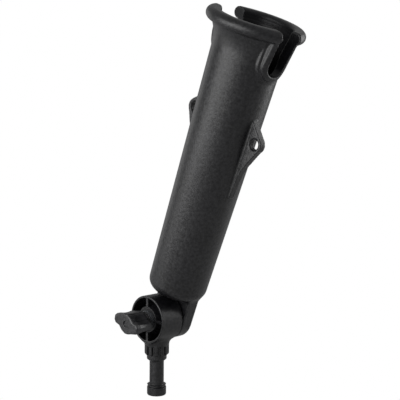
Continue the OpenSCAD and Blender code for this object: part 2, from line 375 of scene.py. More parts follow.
@dataclass(frozen=True)
class GrainedNylon:
    """Black glass-filled nylon, moulded against a spark-eroded tool.

    The eye gets a dull black that breaks its highlights into a mottle of small specks, with paler
    rubbed edges. Real spark grain is 0.1 to 0.3 mm wide, which is too fine to show at this distance,
    so it is drawn about three times as coarse. The mottle is the clouding that the glass leaves.
    Surfaces left by a polished core are smoother, and their gloss is lowered as painted shade for the
    dim bore, slots and pockets.
    """

    name: str
    dark: str = "#0b0b0d"
    pale: str = "#17171a"
    rubbed: str = "#2c2c2f"
    grain_mm: float = 0.9
    mottle_mm: float = 2.6
    flow_mm: float = 38.0
    rough_low: float = 0.28
    rough_high: float = 0.46
    rough_cored: float = 0.34
    gloss_low: float = 0.40
    gloss_high: float = 0.62
    # Specular level on core surfaces, lowered as painted shade for the dim bore, slots and pockets.
    painted_shade_gloss: float = 0.18
    grain_depth_mm: float = 0.09
    mottle_depth_mm: float = 0.22
    wear: float = 0.5

    def make(self) -> bpy.types.Material:
        """Builds the node material.

        Grain and mottle bend the normal and vary roughness and gloss, a slow flow varies the tone,
        and the edges' pointiness brings in the rubbed colour where the mottle lets it.

        Returns:
            The material.
        """
        material, tree = blank_material(self.name)
        place = add_node(tree, "ShaderNodeTexCoord").outputs["Object"]
        grain = add_node(tree, "ShaderNodeTexNoise", {"Vector": place, "Scale": per_metre(self.grain_mm),
                                                     "Detail": 3.0, "Roughness": 0.6})
        mottle = add_node(tree, "ShaderNodeTexNoise", {"Vector": place, "Scale": per_metre(self.mottle_mm),
                                                      "Detail": 4.0, "Roughness": 0.65})
        flow = add_node(tree, "ShaderNodeTexNoise", {"Vector": place, "Scale": per_metre(self.flow_mm),
                                                    "Detail": 2.0})
        mixed = add_node(tree, "ShaderNodeMath", {0: mottle.outputs["Fac"], 1: flow.outputs["Fac"]},
                         operation="ADD")
        tone = add_node(tree, "ShaderNodeMapRange", {0: mixed.outputs[0], 1: 0.75, 2: 1.3})
        colour = add_node(tree, "ShaderNodeMix", {0: tone.outputs[0], 6: linear(self.dark),
                                                  7: linear(self.pale)}, data_type="RGBA")
        edge = add_node(tree, "ShaderNodeNewGeometry").outputs["Pointiness"]
        worn = add_node(tree, "ShaderNodeMapRange", {0: edge, 1: 0.53, 2: 0.62, 4: self.wear})
        broken = add_node(tree, "ShaderNodeMath", {0: worn.outputs[0], 1: mottle.outputs["Fac"]},
                          operation="MULTIPLY")
        rubbed = add_node(tree, "ShaderNodeMix", {0: broken.outputs[0], 6: colour.outputs[2],
                                                  7: linear(self.rubbed)}, data_type="RGBA")
        cored_and_shaded = add_node(tree, "ShaderNodeAttribute", attribute_name=CORED_AND_SHADED).outputs["Fac"]
        blend = add_node(tree, "ShaderNodeMath", {0: grain.outputs["Fac"], 1: mottle.outputs["Fac"]},
                         operation="ADD")
        rough = add_node(tree, "ShaderNodeMapRange", {0: blend.outputs[0], 1: 0.75, 2: 1.25,
                                                      3: self.rough_low, 4: self.rough_high})
        gloss = add_node(tree, "ShaderNodeMapRange", {0: mottle.outputs["Fac"], 1: 0.34, 2: 0.66,
                                                      3: self.gloss_low, 4: self.gloss_high})
        # Core surfaces get a lower roughness and a weaker bump, which are the smooth core's own, and a
        # much lower gloss, which is painted shade for the dim bore, slots and pockets.
        smooth = add_node(tree, "ShaderNodeMix", {0: cored_and_shaded, 2: rough.outputs[0], 3: self.rough_cored})
        dull = add_node(tree, "ShaderNodeMix", {0: cored_and_shaded, 2: gloss.outputs[0], 3: self.painted_shade_gloss})
        skin = add_node(tree, "ShaderNodeMapRange", {0: cored_and_shaded, 3: 1.0, 4: 0.15}).outputs[0]
        soft = add_node(tree, "ShaderNodeBump", {"Height": mottle.outputs["Fac"], "Strength": skin,
                                                 "Distance": self.mottle_depth_mm * MM})
        bump = add_node(tree, "ShaderNodeBump", {"Height": grain.outputs["Fac"], "Strength": skin,
                                                 "Distance": self.grain_depth_mm * MM,
                                                 "Normal": soft.outputs[0]})
        shader = add_node(tree, "ShaderNodeBsdfPrincipled", {"Base Color": rubbed.outputs[2], "IOR": 1.53,
                                                             "Roughness": smooth.outputs[0],
                                                             "Specular IOR Level": dull.outputs[0],
                                                             "Normal": bump.outputs[0]})
        add_node(tree, "ShaderNodeOutputMaterial", {"Surface": shader.outputs[0]})
        return material


@dataclass(frozen=True)
class TurnedMetal:
    """Plated steel, drawn wire or brass, turned or stamped and then tumbled.

    The eye gets a bright metal with fine rings from the tool and a faint clouding of its plating. The
    rings are a lathe's feed of about 0.1 mm, drawn two to three times as coarse so that they show.
    """

    name: str
    colour: str
    stain: str
    rough: float = 0.3
    ring_mm: float = 0.35
    cloud_mm: float = 2.5
    depth_mm: float = 0.02

    def make(self) -> bpy.types.Material:
        """Builds the node material.

        Returns:
            The material.
        """
        material, tree = blank_material(self.name)
        place = add_node(tree, "ShaderNodeTexCoord").outputs["Object"]
        cloud = add_node(tree, "ShaderNodeTexNoise", {"Vector": place, "Scale": per_metre(self.cloud_mm),
                                                     "Detail": 4.0})
        split = add_node(tree, "ShaderNodeSeparateXYZ", {0: place})
        rings = add_node(tree, "ShaderNodeTexNoise", {"W": split.outputs[0],
                                                     "Scale": per_metre(self.ring_mm), "Detail": 2.0},
                         noise_dimensions="1D")
        colour = add_node(tree, "ShaderNodeMix", {0: cloud.outputs["Fac"], 6: linear(self.colour),
                                                  7: linear(self.stain)}, data_type="RGBA")
        rough = add_node(tree, "ShaderNodeMapRange", {0: cloud.outputs["Fac"], 1: 0.3, 2: 0.7,
                                                      3: self.rough, 4: self.rough + 0.15})
        bump = add_node(tree, "ShaderNodeBump", {"Height": rings.outputs["Fac"], "Strength": 0.3,
                                                 "Distance": self.depth_mm * MM})
        shader = add_node(tree, "ShaderNodeBsdfPrincipled", {"Base Color": colour.outputs[2],
                                                             "Metallic": 1.0,
                                                             "Roughness": rough.outputs[0],
                                                             "Normal": bump.outputs[0]})
        add_node(tree, "ShaderNodeOutputMaterial", {"Surface": shader.outputs[0]})
        return material


@dataclass(frozen=True)
class MouldedAcetal:
    """Natural acetal, moulded: an ivory plastic with a waxy gloss and a very fine orange peel."""

    name: str
    pale: str = "#dcd8cc"
    dark: str = "#c9c4b6"
    peel_mm: float = 0.8
    depth_mm: float = 0.02

    def make(self) -> bpy.types.Material:
        """Builds the node material.

        Returns:
            The material.
        """
        material, tree = blank_material(self.name)
        place = add_node(tree, "ShaderNodeTexCoord").outputs["Object"]
        peel = add_node(tree, "ShaderNodeTexNoise", {"Vector": place, "Scale": per_metre(self.peel_mm),
                                                    "Detail": 3.0})
        colour = add_node(tree, "ShaderNodeMix", {0: peel.outputs["Fac"], 6: linear(self.pale),
                                                  7: linear(self.dark)}, data_type="RGBA")
        rough = add_node(tree, "ShaderNodeMapRange", {0: peel.outputs["Fac"], 1: 0.3, 2: 0.7,
                                                      3: 0.3, 4: 0.42})
        bump = add_node(tree, "ShaderNodeBump", {"Height": peel.outputs["Fac"], "Strength": 0.3,
                                                 "Distance": self.depth_mm * MM})
        shader = add_node(tree, "ShaderNodeBsdfPrincipled", {"Base Color": colour.outputs[2], "IOR": 1.48,
                                                             "Roughness": rough.outputs[0],
                                                             "Normal": bump.outputs[0]})
        add_node(tree, "ShaderNodeOutputMaterial", {"Surface": shader.outputs[0]})
        return material


def dress(made: bpy.types.Object, material: bpy.types.Material) -> None:
    """Puts one material in all of an object's slots."""
    made.data.materials.clear()
    made.data.materials.append(material)


def report(made: bpy.types.Object) -> None:
    """Logs a piece's name and how many faces it has."""
    log.info("%s: %d faces", made.name, len(made.data.polygons))


# Hinge ------------------------------------------------------------------------------------------


@dataclass(frozen=True)
class Hinge:
    """Sizes that the drum, the arm and the hardware share, along the hinge's axis."""

    lean: float = 21.5
    drum_x0: float = -12.8
    drum_x1: float = 11.9
    arm_x0: float = 13.3
    arm_x1: float = 25.0
    bolt_hole_r: float = 3.18
    tooth_count: int = 24
    tooth_r0: float = 9.6
    tooth_r1: float = 18.2
    tooth_h: float = 1.1
    tooth_base: float = 1.5
    tooth_crest: float = 0.7
    tooth_root: float = 0.4

    def teeth(self, x: float, side: int, turn: float = 0.0) -> Skin:
        """A ring of radial locking teeth.

        Each tooth is a bar of trapezoid section along a radius; its eight corners are the section's
        four corners at the inner and outer radius, turned by whole tooth pitches.

        Args:
            x: Plane that the teeth stand on.
            side: 1 if they stand towards +X, -1 towards -X.
            turn: Angle of the first tooth, in degrees.

        Returns:
            The skin of all the teeth.
        """
        section = np.array([[-self.tooth_root * side, -self.tooth_base / 2],
                            [self.tooth_h * side, -self.tooth_crest / 2],
                            [self.tooth_h * side, self.tooth_crest / 2],
                            [-self.tooth_root * side, self.tooth_base / 2]])
        bar = np.array([[x + a, b, r] for r in (self.tooth_r0, self.tooth_r1) for a, b in section])
        turns = np.arange(self.tooth_count) * 2 * math.pi / self.tooth_count + math.radians(turn)
        c, s = np.cos(turns)[:, None], np.sin(turns)[:, None]
        y, z = bar[None, :, 1] * c - bar[None, :, 2] * s, bar[None, :, 1] * s + bar[None, :, 2] * c
        points = np.stack([np.broadcast_to(bar[None, :, 0], y.shape), y, z], 2).reshape(-1, 3)
        faces = np.array([[0, 1, 2, 3], [7, 6, 5, 4], [0, 4, 5, 1], [1, 5, 6, 2], [2, 6, 7, 3],
                          [3, 7, 4, 0]])
        faces = faces if side < 0 else faces[:, ::-1]
        quads = (faces[None] + 8 * np.arange(self.tooth_count)[:, None, None]).reshape(-1, 4)
        return Skin(points, quads, np.zeros_like(points))


def flat_piece(skin: Skin, name: str) -> bpy.types.Object:
    """Makes an object of flat faces in the frame's axes.

    Args:
        skin: The faces, already pointing outwards.
        name: Name of the object.

    Returns:
        The object.
    """
    mesh = bpy.data.meshes.new(name)
    mesh.from_pydata((skin.points * MM + HINGE).tolist(), [], skin.quads.tolist())
    mesh.validate()
    mesh.update()
    return stand(name, mesh)


# Tube -------------------------------------------------------------------------------------------


@dataclass(frozen=True)
class Slot:
    """A U-shaped slot down from the rim, with its raised border.

    It widens by its flare on each side towards the rim, and its border stands out by a share of the
    full border's height.
    """

    side: Side
    half: float
    depth: float
    flare: float
    border_share: float


@dataclass
class TubeMoulding:
    """The tapered tube with its rolled rim, slots, tether ears and hinge arm, in one moulding.

    Places along the tube, called s, are measured from the hinge's centre along the tube's axis.
    """

    hinge: Hinge
    axis_x: float = 16.7
    axis_back: float = 2.2
    low: float = 25.0
    top: float = 284.0
    r_low: float = 26.8
    r_top: float = 31.5
    wall: float = 3.8
    floor: float = 5.0
    foot_round: float = 9.0
    bore_round: float = 6.0
    seat_top: float = 56.0
    drain_r: float = 4.5
    drain_x: float = -10.5
    drain_past: float = 4.0
    drain_edge: float = 0.6
    bead_r: float = 5.3
    bead_c: float = 37.4
    bead_in: float = 4.4
    cove_s: float = 256.0
    cove_h: float = 17.0
    cove_r: float = 5.0
    bead_join: float = 1.0
    lip_r: float = 31.0
    lip_deep: float = 22.0
    lip_h: float = 17.0
    lip_round: float = 3.4
    slot_flare_h: float = 30.0
    slot_edge: float = 1.3
    slots: tuple[Slot, ...] = (Slot(Side.FRONT, 9.5, 39.0, 1.2, 1.0),
                               Slot(Side.BACK, 13.4, 35.0, 0.0, 0.5))
    # Each step of a border: its width beyond the slot, and its share of the border's height.
    border_steps: tuple[tuple[float, float], ...] = ((6.8, 0.34), (4.8, 0.84))
    border_low: float = 3.8
    border_high: float = 10.4
    border_curve: float = 1.3
    border_below_bead: float = 1.5
    border_edge: float = 0.8
    border_end: float = 1.0
    border_blend: float = 0.5
    border_join: float = 0.9
    ear_s: float = 187.5
    ear_step: float = 3.0
    ear_h: float = 8.4
    ear_t: float = 6.5
    ear_round: float = 7.7
    ear_hole_r: float = 4.5
    ear_hole_cone: float = 1.0
    ear_hole_edge: float = 0.3
    ear_edge: float = 0.6
    ear_join: float = 1.6
    arm_r: float = 21.0
    arm_up: float = 29.0
    arm_edge: float = 1.2
    arm_join: float = 3.0
    hex_af: float = 11.5
    pocket_h: float = 5.6
    core_r0: float = 9.4
    core_r1: float = 17.8
    core_h: float = 6.0
    core_corner: float = 1.2
    core_floor: float = 1.0
    rib: float = 2.6
    seat_r: float = 8.6
    seat_h: float = 1.5
    cut_edge: float = 0.4
    cored_and_shaded_from: float = 0.6
    cored_and_shaded_over: float = 1.2
    made: list[bpy.types.Object] = field(default_factory=list)

    def radius(self, s: Array | float) -> Array | float:
        """Outer radius of the taper at a distance along the tube."""
        return self.r_low + (self.r_top - self.r_low) * (s - self.low) / (self.top - self.low)

    def outside(self, x: Array, y: Array, s: Array) -> Array:
        """Distance to the tube's outer form about its own axis: taper, cove, bead and rounded foot.

        The cove adds a parabola to the taper's radius, and the bead is the distance to a short flat
        ring less the bead's radius.

        Args:
            x: Positions across the tube, from its axis.
            y: Positions towards the back, from its axis.
            s: Positions along the tube.

        Returns:
            Distance, negative inside.
        """
        r = np.hypot(x, y)
        rise = np.clip((s - self.cove_s) / self.cove_h, 0.0, 1.0)
        slope = 2.0 * self.cove_r * rise / self.cove_h
        body = (r - self.radius(s) - self.cove_r * rise ** 2) / np.sqrt(1.0 + slope ** 2)
        body = round_meet(body, self.low - s, self.foot_round)
        body = np.maximum(body, s - self.top + self.bead_r)
        past = np.maximum(r - self.bead_c, 0.0) + np.maximum(self.bead_c - self.bead_in - r, 0.0)
        bead = np.hypot(past, s - self.top + self.bead_r) - self.bead_r
        return soft_union(body, bead, self.bead_join)

    def borders(self, x: Array, y: Array, s: Array) -> Array:
        """Distance to the raised borders: the slots' outlines widened, on a cone wider than the tube.

        Each border has an outer, lower step and an inner, higher one. Their height rises by a power
        curve from the slot's bottom to the bead, and the inner step also slopes up to the slot.

        Args:
            x: Positions across the tube, from its axis.
            y: Positions towards the back, from its axis.
            s: Positions along the tube.

        Returns:
            Distance, negative inside.
        """
        r = np.hypot(x, y)
        found = np.full(x.shape, FAR)
        for slot in self.slots:
            centre = self.top - slot.depth + slot.half
            start = self.top - slot.depth - self.border_steps[1][0]
            end = self.top - self.bead_r - self.border_below_bead
            rise = np.clip((s - start) / (end - start), 0.0, 1.0)
            height = self.border_low + (self.border_high - self.border_low) * rise ** self.border_curve
            height = slot.border_share * height
            for width, share in self.border_steps:
                edge = u_outline(x, s, slot.half + width, centre)
                slope = np.clip(-edge / width, 0.0, 1.0)
                inner = share > 0.5
                top = r - self.radius(s) - height * (share + (1.0 - share) * slope * inner)
                one = round_meet(round_meet(edge, top, self.border_edge), s - end, self.border_end)
                found = soft_union(found, np.maximum(one, -slot.side.value * y), self.border_blend)
        return found

    def ear_at(self, side: Side) -> float:
        """Distance along the tube to the hole of the ear on one side."""
        return self.ear_s + (self.ear_step if side is Side.BACK else 0.0)

    def ear_outline(self, s: float) -> list[tuple[float, float]]:
        """Corners of a tether ear with its hole at s: along the tube, and away from its axis."""
        r, h = float(self.radius(s)), self.ear_h
        return [(s - 54, r - 4), (s - 54, r + 0.4), (s - 40, r + 1.6), (s - 32, r + 2.6),
                (s - 23, r + 5.2), (s - 5.4, r + h + 5.5), (s, r + h), (s + 6.2, r + h + 4.6),
                (s + 17.5, r + 0.8), (s + 18.5, r - 4)]

    def ears(self, x: Array, y: Array, s: Array) -> Array:
        """Distance to the two ears: their outline with a round tip, given a thickness.

        Only the points near each ear are worked out; the rest are taken as far away.

        Args:
            x: Positions across the tube, from its axis.
            y: Positions towards the back, from its axis.
            s: Positions along the tube.

        Returns:
            Distance, negative inside.
        """
        found = np.full(x.shape, FAR)
        for side in Side:
            at = self.ear_at(side)
            # A box about the ear, wider than the fillet that joins it to the tube.
            near = (np.abs(x) < 12) & (side.value * y > 18) & (np.abs(s - at + 20) < 48)
            if near.any():
                u, v = s[near], np.abs(y[near])
                tip = np.hypot(u - at, v - self.radius(at) - self.ear_h) - self.ear_round
                flat = soft_union(polygon_distance(u, v, self.ear_outline(at)), tip, self.ear_edge)
                found[near] = round_meet(flat, np.abs(x[near]) - self.ear_t / 2, self.ear_edge)
        return found

    def arm(self, x: Array, y: Array, s: Array) -> Array:
        """Distance to the flat arm about the hinge's centre, with a round end and softened edges.

        A half round below the hinge and a straight bar above it, given a thickness.

        Args:
            x: Positions along the hinge's axis.
            y: Positions across the arm.
            s: Positions along the tube.

        Returns:
            Distance, negative inside.
        """
        flat = np.where(s > 0, np.abs(y), np.hypot(y, s)) - self.arm_r
        middle = (self.hinge.arm_x0 + self.hinge.arm_x1) / 2
        half = (self.hinge.arm_x1 - self.hinge.arm_x0) / 2
        return np.maximum(round_meet(flat, np.abs(x - middle) - half, self.arm_edge), s - self.arm_up)

    def arm_cuts(self, x: Array, y: Array, s: Array) -> Array:
        """Distance to what is cut out of the arm: bolt hole, hex pocket, washer seat, cored pockets.

        The pockets are a ring between two radii, parted by two ribs that cross at right angles.

        Args:
            x: Positions along the hinge's axis.
            y: Positions across the arm.
            s: Positions along the tube.

        Returns:
            Distance, negative inside the cuts.
        """
        r = np.hypot(y, s)
        hole = r - self.hinge.bolt_hole_r
        angle = np.arctan2(s, y)
        around = (angle + math.pi / 6) % (math.pi / 3) - math.pi / 6
        hexagon = np.maximum(r * np.cos(around) - self.hex_af / 2, self.hinge.arm_x1 - self.pocket_h - x)
        seat = np.maximum(r - self.seat_r, x - self.hinge.arm_x0 - self.seat_h)
        ribs = np.minimum(np.abs(y - s), np.abs(y + s)) / math.sqrt(2.0) - self.rib / 2
        core = np.maximum(self.core_r0 - r, r - self.core_r1)
        core = round_meet(core, -ribs, self.core_corner)
        core = round_meet(core, self.hinge.arm_x1 - self.core_h - x, self.core_floor)
        return np.minimum(np.minimum(hole, hexagon), np.minimum(seat, core))

    def form(self, hx: Array, hy: Array, s: Array) -> Array:
        """Distance to the moulding's outer form, with nothing cut out of it: its parts with fillets.

        Args:
            hx: Positions along the hinge's axis.
            hy: Positions across, towards the back.
            s: Positions along the tube.

        Returns:
            Distance, negative inside.
        """
        x, y = hx - self.axis_x, hy - self.axis_back
        body = soft_union(self.outside(x, y, s), self.borders(x, y, s), self.border_join)
        body = soft_union(body, self.ears(x, y, s), self.ear_join)
        return soft_union(body, self.arm(hx, hy, s), self.arm_join)

    def solid(self, hx: Array, hy: Array, s: Array) -> Array:
        """Distance to the whole moulding, about the hinge's centre in the tube's own lean.

        The outer forms are joined with fillets, then the bore, slots, holes and pockets are cut out.

        Args:
            hx: Positions along the hinge's axis.
            hy: Positions across, towards the back.
            s: Positions along the tube.

        Returns:
            Distance, negative inside the plastic.
        """
        x, y = hx - self.axis_x, hy - self.axis_back
        r = np.hypot(x, y)
        body = self.form(hx, hy, s)
        flare_s = self.top - self.lip_deep
        lip = np.clip((s - flare_s) / self.lip_h, 0.0, 1.0)
        seat = self.r_low - self.wall
        rise = np.clip((s - self.seat_top) / (flare_s - self.seat_top), 0.0, 1.0)
        inner = seat + (self.radius(flare_s) - self.wall - seat) * rise
        bore = r - inner - (self.lip_r - inner) * lip
        bore = round_meet(bore, self.low + self.floor - s, self.bore_round)
        body = round_cut(body, bore, self.lip_round)
        for slot in self.slots:
            flare = slot.flare * np.clip((s - self.top + self.slot_flare_h) / self.slot_flare_h, 0.0, 1.0)
            outline = u_outline(x, s, slot.half, self.top - slot.depth + slot.half) - flare
            body = round_cut(body, np.maximum(outline, -slot.side.value * y), self.slot_edge)
        wide = self.ear_hole_r + np.maximum(np.abs(x) - self.ear_t / 2 + self.ear_hole_cone, 0.0)
        for side in Side:
            at = self.ear_at(side)
            out = side.value * y - self.radius(at) - self.ear_h
            hole = np.maximum(np.hypot(s - at, out) - wide, np.abs(x) - self.ear_t)
            body = round_cut(body, hole, self.ear_hole_edge)
        drain = np.maximum(np.hypot(x - self.drain_x, y) - self.drain_r,
                           s - self.low - self.floor - self.drain_past)
        body = round_cut(body, drain, self.drain_edge)
        return round_cut(body, self.arm_cuts(hx, hy, s), self.cut_edge)

    def build(self) -> None:
        """Makes the moulding and the arm's ring of teeth.

        The grid is fine about the arm, the ears and the rim, and coarse along the plain taper. A point's
        share of the core side grows with how deep it lies inside the outer form; by that share the
        material smooths its grain and lowers its gloss, the lower gloss being painted shade.
        """
        reach = self.bead_c + self.bead_r + 1.5
        x0, x1 = self.axis_x - reach, self.axis_x + reach
        xs = steps((x0, 1.0, 1.2), (1.0, 12.6, 0.9), (12.6, 26.0, 0.67), (26.0, 33.0, 0.9),
                   (33.0, x1, 1.2))
        ys = steps((-48.5, -22.0, 1.1), (-22.0, 22.0, 1.1), (22.0, 53.0, 1.1))
        zs = steps((-22.5, 26.0, 0.8), (26.0, 40.0, 1.0), (40.0, 130.0, 3.6), (130.0, 212.0, 1.25),
                   (212.0, 238.0, 2.6), (238.0, self.top + 1.5, 0.9))
        skin = Skin.of(self.solid, xs, ys, zs)
        cored_and_shaded = np.clip((-self.form(*skin.points.T) - self.cored_and_shaded_from) / self.cored_and_shaded_over, 0.0, 1.0)
        self.made.append(skin.leaned(self.hinge.lean).piece("tube_moulding", cored_and_shaded))
        teeth = self.hinge.teeth(self.hinge.arm_x0, -1, 180 / self.hinge.tooth_count)
        self.made.append(flat_piece(teeth, "arm_teeth"))

    def dress(self) -> None:
        """Puts the tube's grained nylon on its pieces and lets them ride on the tube's body."""
        nylon = GrainedNylon("grained_nylon_tube").make()
        for made in self.made:
            dress(made, nylon)
            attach(made, "tube")
            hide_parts("rod_tube")
            report(made)


# Post -------------------------------------------------------------------------------------------


@dataclass
class PostMoulding:
    """The hinge drum, neck, splined collar, shank and tip, in one moulding."""

    hinge: Hinge
    drum_r: float = 21.6
    drum_wall: float = 2.0
    drum_edge: float = 0.7
    drum_join: float = 5.0
    boss_r: float = 11.5
    boss_x: float = -12.0
    boss_slope: float = 0.28
    boss_h: float = 12.0
    web: float = 4.0
    web_round: float = 1.5
    pocket_wall: float = 0.4
    pocket_corner: float = 0.9
    pocket_edge: float = 0.6
    face_gap: float = 0.2
    cut_edge: float = 0.3
    rib: float = 2.6
    rib_sink: float = 0.4
    spring_r: float = 8.6
    spring_x: float = 3.9
    recess_in: float = 2.0
    recess_out: float = 0.7
    recess_deep: float = 0.15
    collar_r: float = 11.2
    collar_low: float = -25.4
    collar_high: float = -12.0
    core_r: float = 9.1
    core_low: float = -38.7
    core_round: float = 1.2
    spline_high: float = -15.0
    rib_count: int = 12
    rib_w: float = 3.2
    rib_low: float = -34.4
    rib_edge: float = 0.7
    rib_round: float = 2.2
    shank_r: float = 6.6
    shank_high: float = -30.0
    shank_join: float = 2.6
    tip_r: float = 8.8
    tip_low: float = -72.7
    tip_high: float = -61.9
    tip_sink: float = 2.0
    tip_round: float = 2.3
    tip_edge: float = 0.5
    groove_deep: float = 2.0
    groove_down: float = 1.45
    groove_half: float = 0.95
    groove_edge: float = 0.2
    join: float = 0.5
    made: list[bpy.types.Object] = field(default_factory=list)

    def below(self, x: Array, y: Array, z: Array) -> Array:
        """Distance to what is turned about the post's axis: core, ribs, shank and tip.

        One rib is worked out in polar angle and repeated around the axis by the remainder of the
        angle over the ribs' pitch.

        Args:
            x: Positions along the hinge's axis.
            y: Positions towards the back.
            z: Positions upwards.

        Returns:
            Distance, negative inside.
        """
        r = np.hypot(x, y)
        shank = np.maximum(r - self.shank_r,
                           np.maximum(z - self.shank_high, self.tip_low + self.tip_sink - z))
        groove = np.maximum(self.tip_r - self.groove_deep - r,
                            np.abs(z - self.tip_high + self.groove_down) - self.groove_half)
        tip = round_meet(r - self.tip_r, self.tip_low - z, self.tip_round)
        tip = round_cut(round_meet(tip, z - self.tip_high, self.tip_edge), groove, self.groove_edge)
        core = round_meet(r - self.core_r, self.core_low - z, self.core_round)
        core = np.maximum(core, z - self.spline_high)
        pitch = 2 * math.pi / self.rib_count
        angle = (np.arctan2(y, x) - math.pi / 12 + pitch / 2) % pitch - pitch / 2
        rib = round_meet(np.abs(r * np.sin(angle)) - self.rib_w / 2, r - self.collar_r, self.rib_edge)
        rib = round_meet(rib, self.rib_low - z, self.rib_round)
        rib = np.maximum(rib, z - self.spline_high)
        core = soft_union(core, rib, self.join)
        return soft_union(soft_union(shank, core, self.shank_join), tip, self.join)

    def pockets(self, x: Array, y: Array, z: Array) -> Array:
        """Distance to the four pockets around the boss and the space in front of it.

        A ring between the cone-shaped boss and the drum's wall, less two crossing ribs.

        Args:
            x: Positions along the hinge's axis.
            y: Positions towards the back.
            z: Positions upwards.

        Returns:
            Distance, negative inside the pockets.
        """
        r = np.hypot(y, z)
        boss = self.boss_r + self.boss_slope * np.clip(x - self.boss_x, 0.0, self.boss_h)
        ring = round_meet(boss - r, r - self.drum_r + self.drum_wall, self.pocket_wall)
        ribs = np.maximum(np.minimum(np.abs(y), np.abs(z)) - self.rib / 2,
                          self.hinge.drum_x0 + self.rib_sink - x)
        ring = round_meet(ring, -ribs, self.pocket_corner)
        ring = round_meet(ring, x - self.hinge.drum_x1 + self.web, self.web_round)
        face = np.maximum(r - self.boss_r - self.face_gap, x - self.boss_x)
        return np.minimum(ring, face)

    def solid(self, x: Array, y: Array, z: Array) -> Array:
        """Distance to the whole moulding about the hinge's centre.

        The drum and the collar are joined with a deep fillet, the turned parts hang below, and the
        pockets, bore, spring seat and tooth recess are cut out.

        Args:
            x: Positions along the hinge's axis.
            y: Positions towards the back.
            z: Positions upwards.

        Returns:
            Distance, negative inside the plastic.
        """
        h = self.hinge
        r = np.hypot(y, z)
        middle, half = (h.drum_x0 + h.drum_x1) / 2, (h.drum_x1 - h.drum_x0) / 2
        drum = round_meet(r - self.drum_r, np.abs(x - middle) - half, self.drum_edge)
        collar = np.maximum(np.hypot(x, y) - self.collar_r,
                            np.maximum(self.collar_low - z, z - self.collar_high))
        body = np.maximum(soft_union(drum, collar, self.drum_join), np.abs(x - middle) - half)
        body = soft_union(body, self.below(x, y, z), self.join)
        body = round_cut(body, self.pockets(x, y, z), self.pocket_edge)
        bore = r - h.bolt_hole_r
        spring = np.maximum(r - self.spring_r, self.spring_x - x)
        recess = np.maximum(np.maximum(h.tooth_r0 - self.recess_in - r,
                                       r - h.tooth_r1 - self.recess_out),
                            h.drum_x1 - h.tooth_h - self.recess_deep - x)
        cut = np.minimum(np.minimum(bore, spring), recess)
        return round_cut(body, cut, self.cut_edge)

    def build(self) -> None:
        """Makes the moulding and the drum's ring of teeth; the grid is coarse along the plain shank."""
        xs = steps((-14.0, 13.0, 0.55))
        ys = steps((-22.8, 22.8, 0.6))
        zs = steps((self.tip_low - 1.0, -59.0, 0.55), (-59.0, -43.0, 1.2), (-43.0, -18.0, 0.5),
                   (-18.0, 22.8, 0.6))
        self.made.append(Skin.of(self.solid, xs, ys, zs).piece("post_moulding"))
        h = self.hinge
        self.made.append(flat_piece(h.teeth(h.drum_x1 - h.tooth_h, 1), "drum_teeth"))

    def dress(self) -> None:
        """Puts the post's finer nylon on its pieces and lets them ride on the post's body."""
        nylon = GrainedNylon("grained_nylon_post", grain_mm=0.7, mottle_mm=3.0, gloss_low=0.42,
                             gloss_high=0.6, grain_depth_mm=0.06, mottle_depth_mm=0.1).make()
        for made in self.made:
            dress(made, nylon)
            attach(made, "post")
            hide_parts("post_body")
            report(made)


# Knob -------------------------------------------------------------------------------------------


